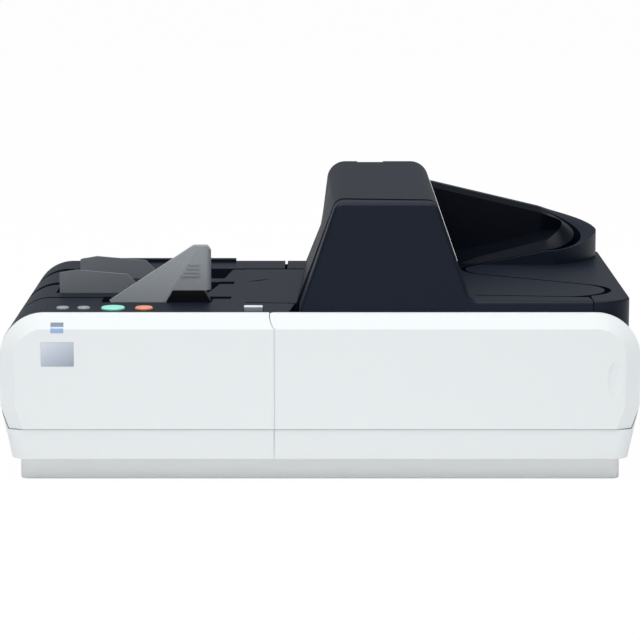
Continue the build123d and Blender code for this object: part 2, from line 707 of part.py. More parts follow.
rim_low_x = rim_front_z[0] - (rim_front_z[1] - right_deck_top) / rim_front_z[2]
rim_start = rim_line(rim_front_z, turn_3[0])
rim_end = rim_line(rim_rear_z, turn_3[0])
rim_far = rim_line(rim_rear_z, island_left - 40)
front_faces = [
    rim_section(x, turn_3[1], (0, -1), rim, rim + crest_front)
    for x, rim in ((island_left - 40, right_deck_top), (rim_low_x, right_deck_top), (turn_3[0], rim_start))
]
turn_faces = []
for step in range(rim_steps + 1):
    part_way = step / rim_steps
    angle = math.radians(-90 + 180 * part_way)
    turn_faces.append(rim_section(
        turn_3[0], turn_3[1], (math.cos(angle), math.sin(angle)),
        ease(rim_start, rim_end, 5.0, 50.0, part_way),
        ease(rim_start + crest_front, rim_end + crest_rear, 30.0, 10.0, part_way),
    ))
rear_faces = [
    rim_section(x, turn_3[1], (0, 1), rim, rim + crest_rear)
    for x, rim in ((turn_3[0], rim_end), (island_left - 40, rim_far))
]

# everything above the rims of the outer wall and the guide
with BuildPart() as above_rim:
    loft(front_faces, ruled=True)
    loft(turn_faces)
    loft(rear_faces, ruled=True)


with BuildPart() as outer_turn_wall:
    with BuildSketch(Plane.XY.offset(parting_height)):
        add(wall_face.sketch)
    extrude(amount=sky - parting_height)
    add(above_rim.part, mode=Mode.SUBTRACT)
    add(tower_keepout.part, mode=Mode.SUBTRACT)
    post(band_pinch[0], band_pinch[1], pinch_radius + 1, parting_height, 142, Mode.SUBTRACT)
save(outer_turn_wall.part, "outer_turn_wall")

guide_wall = 4.0
guide_rear_wall = 9.5
guide_floor = (121.0, 149.3, 0.234)     # x, height and slope of the floor of the hollow, at its rear
floor_tilt = 4.0                        # the floor falls to the front
guide_hollow_radius = turn_3_radius - half_track - guide_rear_wall + 1.5

with BuildSketch() as hollow_plan:
    with BuildLine():
        Polyline((island_left - 30, turn_3[1] + guide_hollow_radius), (turn_3[0] - 2, turn_3[1] + guide_hollow_radius))
        ThreePointArc((turn_3[0] - 2, turn_3[1] + guide_hollow_radius),
                      (turn_3[0] - 2 + guide_hollow_radius - 3, turn_3[1]),
                      (turn_3[0] - 2, turn_3[1] - guide_hollow_radius + 3))
        Polyline((turn_3[0] - 2, turn_3[1] - guide_hollow_radius + 3),
                 (turn_2[0] - 6, band_leg_y + half_track + guide_wall + 2),
                 (island_left - 30, band_leg_y - 14),
                 (island_left - 30, turn_3[1] + guide_hollow_radius))
    make_face()


def floor_wedge(low, high):
    """Slab between two heights over the sloping floor of the hollow."""
    with BuildPart() as wedge:
        with BuildSketch(Plane.XZ.offset(-case_rear - 60)):
            x0, x1 = island_left - 40, case_half
            z0, z1 = (rim_line(guide_floor, x) for x in (x0, x1))
            with BuildLine() as edge:
                Polyline((x0, z0 + low), (x1, z1 + low), (x1, z1 + high), (x0, z0 + high), close=True)
            make_face(edge.edges())
        extrude(amount=case_depth + 120)
    rear_edge = Axis((0, turn_3[1] + guide_hollow_radius, guide_floor[1]), (1, 0, 0))
    return wedge.part.rotate(rear_edge, floor_tilt)


with BuildPart() as hollow_cut:
    with BuildSketch(Plane.XY.offset(parting_height + 20)):
        add(hollow_plan.sketch)
    extrude(amount=sky - parting_height)
    add(floor_wedge(0.0, 300.0), mode=Mode.INTERSECT)

with BuildPart() as under_cut:
    with BuildSketch(Plane.XY.offset(parting_height - 1)):
        add(hollow_plan.sketch)
    extrude(amount=90)
    add(floor_wedge(-200.0, -3.0), mode=Mode.INTERSECT)
    add(above_rim.part.moved(Location((0, 0, -3.0))), mode=Mode.SUBTRACT)

with BuildPart() as rear_turn_guide:
    with BuildSketch(Plane.XY.offset(parting_height)):
        add(guide_face.sketch)
    extrude(amount=sky - parting_height)
    add(above_rim.part, mode=Mode.SUBTRACT)
    add(tower_keepout.part, mode=Mode.SUBTRACT)
    add(hollow_cut.part, mode=Mode.SUBTRACT)
    add(under_cut.part, mode=Mode.SUBTRACT)
    post(band_drive[0], band_drive[1], drum_radius + 1, parting_height, 143, Mode.SUBTRACT)
save(rear_turn_guide.part, "rear_turn_guide")

# --------------------------------------------------------------- tower covers ---
lean = tower_front_lean / (tower_top - panel_top)
skirt_bottom = parting_height + 4.1


tower_edge = 9.0
track_wall = 2.5
front_edge = 3.5                # rounding of the front cover's face
strip_blend = 10.0              # hollow corner between the tower and the strip beside it
cover_depth = -tower_front_y - 75.0
strip_swing = math.hypot(strip_right - door_axis[0], tower_front_y - door_axis[1])


def lean_wedge(inset):
    """What lies in front of the leaning face, moved to the back by the inset."""
    height = sky - panel_top
    with BuildPart() as wedge:
        with BuildSketch(Plane.YZ.offset(tower_left - 20)):
            front = tower_front_y + inset * math.hypot(1, lean)
            with BuildLine() as edge:
                Polyline((front, panel_top), (front + lean * height, sky), (front - 30, sky), (front - 30, 0),
                         (front, 0), close=True)
            make_face(edge.edges())
        extrude(amount=strip_right - tower_left + 40)
    return wedge.part


# front view of the tower and the strip beside it, above the panels
with BuildSketch() as front_outline:
    with BuildLine():
        Polyline(
            (tower_left, panel_top),
            (strip_right, panel_top),
            (strip_right, right_deck_top),
            (tower_side(right_deck_top), right_deck_top),
            (tower_side(tower_top), tower_top),
            (tower_left + tower_slope * (tower_top - panel_top), tower_top),
            close=True,
        )
    make_face()
    fillet(front_outline.vertices().sort_by(Axis.Y)[-2:], tower_edge)
    inner_corner = front_outline.vertices().sort_by_distance((tower_side(right_deck_top), right_deck_top))[0]
    fillet(inner_corner, strip_blend)

with BuildPart() as front_cavity:
    with BuildSketch(Plane.XZ.offset(-tower_front_y)):
        add(offset(front_outline.sketch, amount=-shell, mode=Mode.PRIVATE))
    extrude(amount=-cover_depth - 5)
    box(tower_left + shell, strip_right - strip_wall, tower_front_y, tower_front_y + cover_depth + 5,
        skirt_bottom - 1, panel_top + shell)
    add(lean_wedge(shell), mode=Mode.SUBTRACT)
    box(strip_right - strip_wall, strip_right, case_front, 0, skirt_bottom - 2, sky, Mode.SUBTRACT)

with BuildPart() as tower_front_cover:
    with BuildSketch(Plane.XZ.offset(-tower_front_y)):
        add(front_outline.sketch)
    extrude(amount=-cover_depth)
    add(lean_wedge(0.0), mode=Mode.SUBTRACT)
    leaning_face = tower_front_cover.faces().filter_by(lambda f: f.normal_at().Y < -0.9).sort_by(SortBy.AREA)[-1]
    face_edges = leaning_face.edges().filter_by(
        lambda e: e.center().Z > panel_top + 1 and e.center().X < strip_right - 1
    )
    fillet(face_edges, front_edge)
    # skirt below the tower and the strip
    box(tower_left, strip_right, tower_front_y, tower_front_y + cover_depth, skirt_bottom, panel_top)
    track_slab(tower_left - 60, case_half, -half_track, 100, 0, sky + 30, Mode.SUBTRACT)
    add(front_cavity.part, mode=Mode.SUBTRACT)
    # the strip's right end lies on a circle about the door's axis, so that it swings clear
    post(door_axis[0], door_axis[1], strip_swing, 0, sky, Mode.INTERSECT)
save(tower_front_cover.part, "tower_front_cover")

rear_flare = ((-19.8, 0.385), (-12.3, 0.4))     # base X and lean of the left side, front and rear
rear_bend = (172.0, 0.125)                      # height and lean above it at the back
rear_section_y = -112.0


def tower_section(y, base, lean_low, lean_high, top, radius, inset):
    """Outline of the rear cover in the XZ plane at one depth."""
    side = inset * 1.07
    low = panel_top
    bend_z = rear_bend[0]
    bend_x = base + lean_low * (bend_z - low)
    top -= inset
    left_top = bend_x + lean_high * (top - bend_z)
    right_top = tower_right - tower_slope * (top - low)
    with BuildSketch(Plane.XZ.offset(-y)) as section:
        with BuildLine() as edge:
            FilletPolyline(
                (base + side, low), (bend_x + side, bend_z), (left_top + side, top),
                (right_top - side, top), (tower_right - side, low), radius=radius, close=False,
            )
            Line((tower_right - side, low), (base + side, low))
        make_face(edge.edges())
    return section.sketch


def rear_shell(inset):
    """Body of the rear cover, smaller by the inset."""
    front = tower_section(rear_section_y, rear_flare[0][0], rear_flare[0][1], rear_flare[0][1] - 0.002,
                          tower_top + 0.4, tower_edge - inset / 2, inset)
    rear = tower_section(tower_rear_y - inset, rear_flare[1][0], rear_flare[1][1], rear_bend[1],
                         tower_top + 4.3, tower_edge + 7 - inset / 2, inset)
    with BuildPart() as body:
        loft([front, rear])
    return body.part


slot_top = parting_height + 110.0
with BuildPart() as tower_rear_cover:
    add(rear_shell(0.0))
    add(rear_shell(shell), mode=Mode.SUBTRACT)
    box(-3.6, tower_right - 0.5, tower_rear_y - shell, tower_rear_y, parting_height, panel_top + 1)
    track_slab(-60, 260, -60, half_track, 100, sky, Mode.SUBTRACT)
    post(turn_2[0], turn_2[1], outer_2 + 0.2, 100, 160, Mode.SUBTRACT)
    box(-30, 20, exit_y - 2.5, exit_y + 2.5, 100, slot_top, Mode.SUBTRACT)
    box(80, 130, rear_leg_y - 2, rear_leg_y + 2, 100, slot_top, Mode.SUBTRACT)
    box(33, 56, tower_rear_y - 6, tower_rear_y + 1, tower_top + 2.9, sky, Mode.SUBTRACT)
save(tower_rear_cover.part, "tower_rear_cover")

# ------------------------------------------------------------- track plates ---
camera_x = (34.0, 52.0)
camera_depth = 13.0
camera_width = 14.0
camera_top = 204.0
upper_wall = (14.5, 86.0)
wall_step = 140.0
head_x = (20.0, 28.0)           # magnetic reading head
idler_top = 137.0
frame_under = parting_height + 0.8
frame_top = frame_under + 3.0
frame_right = strip_right - strip_wall - 0.5

with BuildPart() as front_track_wall:
    outside = -half_track - track_wall
    track_slab(frame_left, frame_right, outside, -half_track, frame_under, wall_step)
    track_slab(upper_wall[0], upper_wall[1], outside, -half_track, wall_step, camera_top + 2)
    for x, y in tower_pinches:
        post(x, y, pinch_radius + 1, frame_under, idler_top + 2, Mode.SUBTRACT)
    x0 = camera_x[0] - camera_width / 2 - seat_gap
    track_slab(x0, x0 + camera_width + 2 * seat_gap, outside - 1, 0, frame_top, camera_top - 2,
               Mode.SUBTRACT)
save(front_track_wall.part, "front_track_wall")

with BuildPart() as rear_track_wall:
    outside = half_track + track_wall
    track_slab(-3.2, 116, half_track, outside, parting_height, wall_step)
    track_slab(upper_wall[0], upper_wall[1], half_track, outside, wall_step, camera_top + 2)
    for x, y in tower_drives:
        post(x, y, drum_radius + 1, parting_height, 139, Mode.SUBTRACT)
    x0 = camera_x[1] - camera_width / 2 - seat_gap
    track_slab(x0, x0 + camera_width + 2 * seat_gap, 0, outside + 1, parting_height + 3, camera_top - 2,
               Mode.SUBTRACT)
    track_slab(head_x[0] - seat_gap, head_x[1] + seat_gap, 0, outside + 1, parting_height - 1, 125, Mode.SUBTRACT)
save(rear_track_wall.part, "rear_track_wall")

with BuildPart() as camera_front:
    x0 = camera_x[0] - camera_width / 2
    track_slab(x0, x0 + camera_width, -half_track - camera_depth, -half_track - 0.1, frame_top + seat_gap,
               camera_top - 3)
save(camera_front.part, "camera_front")

with BuildPart() as camera_rear:
    x0 = camera_x[1] - camera_width / 2
    track_slab(x0, x0 + camera_width, half_track + 0.1, half_track + camera_depth, parting_height + 3.3,
               camera_top - 3)
    track_slab(x0 + 3, x0 + camera_width - 3, half_track + 4, half_track + camera_depth, parting_height,
               parting_height + 3.4)
save(camera_rear.part, "camera_rear")

with BuildPart() as magnetic_head:
    track_slab(*head_x, half_track + 0.1, half_track + 12, parting_height, 124)
    fillet(magnetic_head.edges().filter_by(Axis.Z), 0.8)
save(magnetic_head.part, "magnetic_head")

with BuildPart() as front_frame:
    with BuildSketch(Plane.XY.offset(frame_under)):
        with BuildLine():
            Polyline((frame_left - 0.5, case_front + case_wall + seat_gap), (frame_right, case_front + case_wall + seat_gap),
                     (frame_right, track_y(frame_right) - half_track - track_wall),
                     (frame_left - 0.5, track_y(frame_left - 0.5) - half_track - track_wall), close=True)
        make_face()
    extrude(amount=frame_top - frame_under)
    for x, y in tower_pinches:
        post(x, y, pinch_radius + 1, frame_top - 0.5, frame_top + 1, Mode.SUBTRACT)
        post(x, y, idler_pin, frame_under, idler_top + 1)
        post(x, y, idler_pin + 1.5, frame_under, frame_top + 0.5)
save(front_frame.part, "front_frame")

# route of the exit track inside the tower
exit_bend = 35.0
exit_radius = 50.0
exit_wall = 1.6
guide_notch_top = 182.0         # the rollers reach through the guides below this height
with BuildLine() as exit_route:
    leg = Line((tower_right - 26, rear_leg_y), (62, rear_leg_y))
    bend = JernArc(start=leg @ 1, tangent=leg % 1, radius=exit_radius, arc_size=exit_bend)
    fall = rear_leg_y - exit_y - 2 * exit_radius * (1 - math.cos(math.radians(exit_bend)))
    slant_length = fall / math.sin(math.radians(exit_bend))
    slant = PolarLine(bend @ 1, slant_length, 180 + exit_bend)
    JernArc(start=slant @ 1, tangent=slant % 1, radius=exit_radius, arc_size=-exit_bend)

with BuildPart() as exit_guides:
    with BuildSketch(Plane.XY.offset(parting_height)):
        trace(exit_route.edges(), line_width=track_width + 2 * exit_wall)
        trace(exit_route.edges(), line_width=track_width, mode=Mode.SUBTRACT)
        with Locations((-10, exit_y)):
            Rectangle(36, 30, mode=Mode.SUBTRACT)
    extrude(amount=88)
    for spot, radius in ((rear_drive, drum_radius), (rear_pinch, rear_pinch_radius)):
        post(spot[0], spot[1], radius + 1, parting_height, guide_notch_top, Mode.SUBTRACT)
save(exit_guides.part, "exit_guides")

# ----------------------------------------------------------------- left deck ---
deck_wall = 2.5
deck_shoulder = left_deck_top - parting_height - 1.0
button_y = deck_front + 20.0
button_set = ((-206.6, 5.2), (-189.7, 5.2), (-166.2, 9.6), (-141.3, 7.2))
button_play = 0.35
button_travel = 1.2
plate_seat = 1.2
wells = (hopper, pocket_1, pocket_2)
tail_left = -case_half + 4
mouths = ((-85.5, -73.0, 10.0, 24.0), (-79.5, -66.0, 92.5, 98.5))
skin_under = left_deck_top - deck_wall
well_mouths = (
    ((hopper[0], hopper[2]), (hopper_mouth[0], hopper[2]), (hopper_mouth[0], hopper_mouth[2]),
     (hopper_mouth[1], hopper_mouth[2]), (hopper_mouth[1], hopper[3]), (hopper[0], hopper[3])),
    ((pocket_1[0], pocket_1[2]), (pocket_1[1] - pocket_slant[0], pocket_1[2]),
     (pocket_1[1], mouths[0][2]), (pocket_1[1], pocket_1[3]), (pocket_1[0], pocket_1[3])),
    ((pocket_2[0], pocket_2[2]), (pocket_2[1] - pocket_slant[1], pocket_2[2]),
     (pocket_2[1], pocket_2[3]), (pocket_2[0], pocket_2[3])),
)


def deck_profile(inset, bottom):
    """Section of the left deck in the XZ plane, with its round left shoulder."""
    radius = deck_shoulder - inset
    top = left_deck_top - inset
    left = -case_half + inset
    mid = radius * math.sqrt(0.5)
    with BuildLine() as edge:
        Polyline((deck_right_x + 16, bottom), (left, bottom), (left, top - radius))
        ThreePointArc((left, top - radius), (left + radius - mid, top - radius + mid), (left + radius, top))
        Polyline((left + radius, top), (deck_right_x + 16, top), (deck_right_x + 16, bottom))
    make_face(edge.edges())


with BuildPart() as deck_void:
    with BuildSketch(Plane.XZ.offset(-deck_front - deck_wall)):
        deck_profile(deck_wall, parting_height - 1)
    extrude(amount=-(deck_rear - deck_front - 2 * deck_wall))
    box(deck_right_x - 4, deck_right_x + 20, deck_front, deck_rear, 90, 140, Mode.SUBTRACT)
    for x0, x1, y0, y1 in (*wells, *mouths):
        box(x0 - deck_wall, x1 + deck_wall, y0 - deck_wall, y1 + deck_wall, 90, 140, Mode.SUBTRACT)
    for y, width in tail_slots:
        box(-case_half, hopper[0], y - width / 2 - deck_wall, y + width / 2 + deck_wall, 90, 140, Mode.SUBTRACT)
    box(-80, deck_right_x, exit_y - 2.5 - deck_wall, exit_y + 2.5 + deck_wall, 90, 140, Mode.SUBTRACT)
    track_slab(-62, deck_right_x, -half_track - deck_wall, half_track + deck_wall, 90, 140, Mode.SUBTRACT)

with BuildPart() as left_deck:
    with BuildSketch(Plane.XZ.offset(-deck_front)):
        deck_profile(0.0, parting_height)
    extrude(amount=-(deck_rear - deck_front))
    add(deck_void.part, mode=Mode.SUBTRACT)
    # raised fence along the back
    box(-212, -75, deck_rear - 8, deck_rear, left_deck_top - 1, left_deck_top + 2.5)
    # wells, mouths and the slots that run over the shoulder
    for x0, x1, y0, y1 in wells:
        box(x0, x1, y0, y1, 90, skin_under, Mode.SUBTRACT)
    for outline in well_mouths:
        with BuildSketch(Plane.XY.offset(90)):
            with BuildLine():
                Polyline(*outline, close=True)
            make_face()
        extrude(amount=50, mode=Mode.SUBTRACT)
    for x0, x1, y0, y1 in mouths:
        box(x0, x1, y0, y1, 90, 140, Mode.SUBTRACT)
    for y, width in tail_slots:
        box(tail_left, hopper[0] + 1, y - width / 2, y + width / 2, 90, 140, Mode.SUBTRACT)
    box(-67, deck_right_x + 17, exit_y - 2.5, exit_y + 2.5, 90, 140, Mode.SUBTRACT)
    track_slab(hopper[1] - 1, deck_right_x + 17, -half_track, half_track, 90, 140, Mode.SUBTRACT)
    # corner next to the door
    track_slab(deck_right_x - 0.8, deck_right_x + 17, -80, half_track, 90, 140, Mode.SUBTRACT)
    with BuildSketch(Plane.XY.offset(90)):
        with BuildLine():
            Polyline((-25.2, deck_front - 1), (deck_right_x - 0.8, track_y(-20)), (0, -80), (0, deck_front - 1),
                     close=True)
        make_face()
    extrude(amount=60, mode=Mode.SUBTRACT)
    # rollers that reach into the hopper and the track
    for x, y in (feed_spot, front_drive, separation_spot):
        post(x, y, drum_radius + 1, 90, left_deck_top - deck_wall - 1, Mode.SUBTRACT)
    post(belt_drives[0][0], belt_drives[0][1], drum_radius + 1, 90, 140, Mode.SUBTRACT)
    # room for the door's hinge bracket
    box(door_axis[0] - bracket_reach - 1, deck_right_x, deck_front - 1, bracket_y + 3.5, 90,
        lug_levels[1] + lug_thickness + 6, Mode.SUBTRACT)
    # notch behind the exit track
    box(-31.0, -28.8, exit_y, deck_rear + 1, left_deck_top - 3, left_deck_top + 1, Mode.SUBTRACT)
    # seat of the control panel, with clearance round the buttons
    box(-220 - 0.15, control_right + 0.15, deck_front + 4 - 0.15, hopper[2] - 4 + 0.15,
        left_deck_top - plate_seat, left_deck_top + 1, Mode.SUBTRACT)
    for x, radius in button_set:
        post(x, button_y, radius + 2.0, left_deck_top - 5, left_deck_top + 1, Mode.SUBTRACT)
    # slot of the feed release lever
    box(latch_x[0] - 0.6, latch_x[1] + 0.6, latch_y[0] - 0.6, latch_y[1] + latch_travel + 0.6,
        left_deck_top - 5, left_deck_top + 1, Mode.SUBTRACT)
    # slot over the diverter gate
    with BuildSketch(Plane.XY.offset(left_deck_top - 5)):
        with BuildLine():
            ThreePointArc((-42.5, 39.0), (-51.0, 29.5), (-61.5, 22.5))
            ThreePointArc((-61.5, 22.5), (-52.5, 32.5), (-42.5, 39.0))
        make_face()
    extrude(amount=8, mode=Mode.SUBTRACT)
save(left_deck.part, "left_deck")

# -------------------------------------------------------- controls and lever ---
with BuildPart() as control_panel:
    box(-220, control_right, deck_front + 4, hopper[2] - 4, left_deck_top - plate_seat, left_deck_top)
    fillet(control_panel.edges().filter_by(Axis.Z), 1.0)
    for x, radius in button_set:
        post(x, button_y, radius + button_play, left_deck_top - 5, left_deck_top + 1, Mode.SUBTRACT)
save(control_panel.part, "control_panel")

board_top = 127.0
for index, (x, radius) in enumerate(button_set, start=1):
    with BuildPart() as button:
        post(x, button_y, radius, left_deck_top - 3.0, left_deck_top + 1.6)
        crown = button.faces().sort_by(Axis.Z)[-1].edges()
        fillet(crown, 1.2)
        post(x, button_y, radius + 1.2, left_deck_top - 4.2, left_deck_top - plate_seat - 0.4)
        post(x, button_y, 2.0, board_top + button_travel + 0.3, left_deck_top - 4.0)
    save(button.part, f"button_{index}")

with BuildPart() as button_board:
    box(-219, control_right - 3, deck_front + deck_wall + 3, button_y + 13, board_top - 1.6, board_top)
    for x, radius in button_set:
        post(x, button_y, 2.6, board_top, board_top + 0.2)
    for x in (-216, control_right - 6):
        post(x, button_y + 10, 2.0, parting_height, board_top - 1.6)
save(button_board.part, "button_board")

with BuildPart() as feed_release_lever:
    box(*latch_x, *latch_y, left_deck_top - 6, left_deck_top + 4.5)
    fillet(feed_release_lever.edges().filter_by(Axis.X).group_by(Axis.Z)[-1], 1.2)
    box(latch_x[0] - 3, latch_x[1] + 3, latch_y[0] - 0.5, latch_y[1] + 7, left_deck_top - 9, left_deck_top - 6)
    box(*lever_foot, latch_y[0], latch_y[1], parting_height + 1.3, left_deck_top - 8)
save(feed_release_lever.part, "feed_release_lever")

# ------------------------------------------------------------- hopper paddle ---
paddle_y = (hopper[2] + 0.6, hopper[2] + 10.6)
paddle_travel = hopper[3] - paddle_y[1] - 1.0
paddle_tip = -172.0
paddle_low = parting_height + 1.0
paddle_crest = 183.0
block_top = left_deck_top + 9.2
join_gap = 0.6                  # line between the grey paddle and its black carriage
paddle_shape = (
    (-160.0, paddle_low), (paddle_tip + 5, paddle_low + 26), (paddle_tip, left_deck_top + 0.5),
    (-103.0, paddle_crest), (-91.5, paddle_crest), (-88.8, paddle_crest - 4), (-88.8, block_top + join_gap),
    (-120.0, block_top + join_gap), (-125.5, left_deck_top), (-125.5, paddle_low),
)
block_shape = (
    (-124.9, paddle_low), (-124.9, left_deck_top - 0.3), (-119.6, block_top), (-93.8, block_top),
    (-88.5, left_deck_top - 0.6), (-88.5, paddle_low),
)
slope_line = ((-100.5, 179.0), (-128.4, 136.3))     # where the front face turns into the sloping facet
facet_depth = 7.0               # how far back the facet lies at the paddle's tip
right_rounding = 5.0
crest_rounding = 3.0
grip_ribs = 4
rib_pitch = 3.1
rib_right = -98.3
rib_size = (0.9, 1.3)           # how far a rib stands out, and its height

facet_plane = Plane(
    origin=(slope_line[0][0], paddle_y[0], slope_line[0][1]),
    x_dir=(slope_line[1][0] - slope_line[0][0], 0, slope_line[1][1] - slope_line[0][1]),
    z_dir=Vector(slope_line[1][0] - slope_line[0][0], 0, slope_line[1][1] - slope_line[0][1]).cross(
        Vector(paddle_tip - slope_line[0][0], facet_depth, left_deck_top - slope_line[0][1])
    ),
)
if facet_plane.z_dir.Y > 0:
    facet_plane = -facet_plane


def slope_x(z):
    """X of the facet's edge on the front face at height z."""
    (x0, z0), (x1, z1) = slope_line
    return x0 + (x1 - x0) * (z - z0) / (z1 - z0)


with BuildPart() as hopper_paddle:
    with BuildSketch(Plane.XZ.offset(-paddle_y[0])):
        with BuildLine():
            Polyline(*paddle_shape, close=True)
        make_face()
    extrude(amount=-(paddle_y[1] - paddle_y[0]))
    crest = hopper_paddle.edges().filter_by(Axis.Y).group_by(Axis.Z)[-1]
    fillet(crest, crest_rounding)
    right_edge_line = hopper_paddle.edges().filter_by(Axis.Z).filter_by(
        lambda e: abs(e.center().Y - paddle_y[0]) < 0.01 and e.center().X > -90
    )
    fillet(right_edge_line, right_rounding)
    with Locations(facet_plane):
        Box(300, 300, 60, align=(Align.CENTER, Align.CENTER, Align.MIN), mode=Mode.SUBTRACT)
    for index in range(grip_ribs):
        z = 168.2 - rib_pitch * index
        box(slope_x(z) + 0.8, rib_right, paddle_y[0] - rib_size[0], paddle_y[0] + 1, z - rib_size[1] / 2,
            z + rib_size[1] / 2)
save(hopper_paddle.part, "hopper_paddle")

rail_radius = 3.0
rail_z = chassis_under - 7.0
with BuildPart() as paddle_carriage:
    with BuildSketch(Plane.XZ.offset(-paddle_y[0])):
        with BuildLine():
            Polyline(*block_shape, close=True)
        make_face()
    extrude(amount=-(paddle_y[1] - paddle_y[0]))
    fillet(paddle_carriage.edges().filter_by(Axis.Y).group_by(Axis.Z)[-1], 2.5)
    # neck through the floor slot, and the slider below the chassis
    box(neck_x - 2.5, neck_x + 2.5, paddle_y[0] + 1.5, paddle_y[1] - 1.5, rail_z, paddle_low + 1)
    box(neck_x - 7, neck_x + 7, paddle_y[0] + 0.5, paddle_y[1] - 0.5, rail_z - 5.5, rail_z + 5.5)
    with BuildSketch(Plane.XZ.offset(-paddle_y[0] + 5)):
        with Locations((neck_x, rail_z)):
            Circle(rail_radius + shaft_play)
    extrude(amount=-30, mode=Mode.SUBTRACT)
save(paddle_carriage.part, "paddle_carriage")

rail_y = (hopper[2] - 4, hopper[3] + 6)
with BuildPart() as paddle_rail:
    with BuildSketch(Plane.XZ.offset(-rail_y[0])):
        with Locations((neck_x, rail_z)):
            Circle(rail_radius)
    extrude(amount=-(rail_y[1] - rail_y[0]))
    for y0, y1 in ((rail_y[0], rail_y[0] + 3), (rail_y[1] - 3, rail_y[1])):
        box(neck_x - 7, neck_x + 7, y0, y1, rail_z - 6, chassis_under)
save(paddle_rail.part, "paddle_rail")

# ------------------------------------------------------------- pocket plates ---
plate_thickness = 2.0
plate_shape = ((-125.0, 36.0), (-125.0, 50.8), (-110.6, 53.3), (-68.3, 49.6), (-58.5, 39.5), (-56.0, 32.0),
               (-4.5, 30.0), (-4.5, 3.0), (-120.0, 3.0), (-125.0, 8.0))
for index, (x, y) in enumerate(plate_pivots, start=1):
    with BuildPart() as pocket_plate:
        with BuildSketch(Plane.XZ.offset(-y - plate_thickness / 2)):
            with BuildLine():
                Polyline(*[(x + px, parting_height + pz) for px, pz in plate_shape], close=True)
            make_face()
        extrude(amount=plate_thickness)
        fillet(pocket_plate.edges().filter_by(Axis.Y).filter_by(lambda e: e.center().Z > left_deck_top + 8), 1.5)
        box(x - 6, x, y - plate_thickness / 2, y + plate_thickness / 2, parting_height + 3, parting_height + 30)
        post(x, y, 3.2, parting_height + 1.0, parting_height + 31)
        post(x, y, 1.5 + shaft_play, parting_height, parting_height + 32, Mode.SUBTRACT)
    save(pocket_plate.part, f"pocket_plate_{index}")

with BuildPart() as plate_pins:
    for x, y in plate_pivots:
        post(x, y, 1.5, floor_under, parting_height + 32)
        post(x, y, 2.8, parting_height + 31.3, parting_height + 32.2)
save(plate_pins.part, "plate_pins")

# ------------------------------------------------------------- diverter gate ---
gate_length = 15.0
with BuildPart() as diverter_gate:
    with BuildSketch(Plane.XY.offset(parting_height + 0.8)):
        with BuildLine():
            Polyline((gate_spot[0], gate_spot[1] - 0.2), (gate_spot[0] + gate_length, exit_y - 0.9),
                     (gate_spot[0] + gate_length, exit_y - 0.4), (gate_spot[0], gate_spot[1] + 1.6), close=True)
        make_face()
    extrude(amount=30)
    post(gate_spot[0], gate_spot[1], 1.5, 70, parting_height + 31)
save(diverter_gate.part, "diverter_gate")

with BuildPart() as gate_solenoid:
    box(gate_spot[0] - 12, gate_spot[0] + 12, gate_spot[1] - 12, gate_spot[1] + 12, 60, chassis_under)
    post(gate_spot[0], gate_spot[1], 1.5 + shaft_play, 59, chassis_under + 1, Mode.SUBTRACT)
save(gate_solenoid.part, "gate_solenoid")

# ------------------------------------------------------------------- rollers ---
def roller(spot, radius, drum_top, pulley_z):
    """Rubber drum on its steel shaft, with a belt pulley at its foot."""
    x, y = spot
    with BuildPart() as turning:
        post(x, y, shaft_radius, pulley_z - 6, drum_top + 2)
        post(x, y, pulley_radius, pulley_z, pulley_z + pulley_height)
        post(x, y, radius, parting_height + 3, parting_height + 12)
        post(x, y, radius, drum_top - 9, drum_top)
        post(x, y, radius - 3, parting_height + 1.0, drum_top)
    return turning.part


low_top = left_deck_top - deck_wall - 3.5
save(roller(feed_spot, drum_radius, low_top, pulley_bottom), "feed_roller")
save(roller(front_drive, drum_radius, low_top, pulley_bottom), "front_drive_roller")
with BuildPart() as separation_roller:
    x, y = separation_spot
    post(x, y, shaft_radius, chassis_under - 4, low_top + 2)
    post(x, y, drum_radius, parting_height + 1.0, low_top)
save(separation_roller.part, "separation_roller")

drive_tops = (138.0, 138.0, 141.0, 178.0)       # under the decks and inside the guides
for index, (spot, top) in enumerate(zip(belt_drives, drive_tops), start=1):
    save(roller(spot, drum_radius, top, pulley_bottom), f"transport_roller_{index}")

idlers = (
    (tower_pinches[0], pinch_radius, frame_top + 0.5, idler_top),
    (tower_pinches[1], pinch_radius, frame_top + 0.5, idler_top),
    (band_pinch, pinch_radius, parting_height + 2.0, 139.0),
    (rear_pinch, rear_pinch_radius, parting_height + 2.0, 178.0),
)
for index, ((x, y), radius, low, high) in enumerate(idlers, start=1):
    with BuildPart() as idler:
        post(x, y, radius, low + seat_gap, high)
        post(x, y, idler_pin + shaft_play, low - 1, high + 1, Mode.SUBTRACT)
    save(idler.part, f"pinch_roller_{index}")


def belt(spots, z0, z1):
    """Flat belt that runs round the pulleys at the given places."""
    inner = pulley_radius + belt_gap
    with BuildPart() as loop:
        with BuildSketch(Plane.XY.offset(z0)):
            with Locations(*spots):
                Circle(inner + belt_thickness)
            make_hull()
        extrude(amount=z1 - z0)
        with BuildSketch(Plane.XY.offset(z0)):
            with Locations(*spots):
                Circle(inner)
            make_hull()
        extrude(amount=z1 - z0, mode=Mode.SUBTRACT)
    return loop.part


belt_z = (pulley_bottom + 1.5, pulley_bottom + pulley_height - 1.5)
save(belt(belt_drives, *belt_z), "transport_belt")
save(belt([feed_spot, front_drive], *belt_z), "feed_belt")

motor_radius = 18.0
motor_top = pulley_bottom - 3.0
motor_low = 30.0
with BuildPart() as motors:
    for x, y in (front_drive, tower_drives[1]):
        post(x, y, motor_radius, motor_low, motor_top)
        post(x, y, shaft_radius + shaft_play, motor_top - 8, motor_top + 1, Mode.SUBTRACT)
        for angle in (-75, -125):
            stand = polar((x, y), motor_radius - 3, angle)
            post(stand[0], stand[1], 2.0, motor_top - 1, chassis_under)
save(motors.part, "motors")

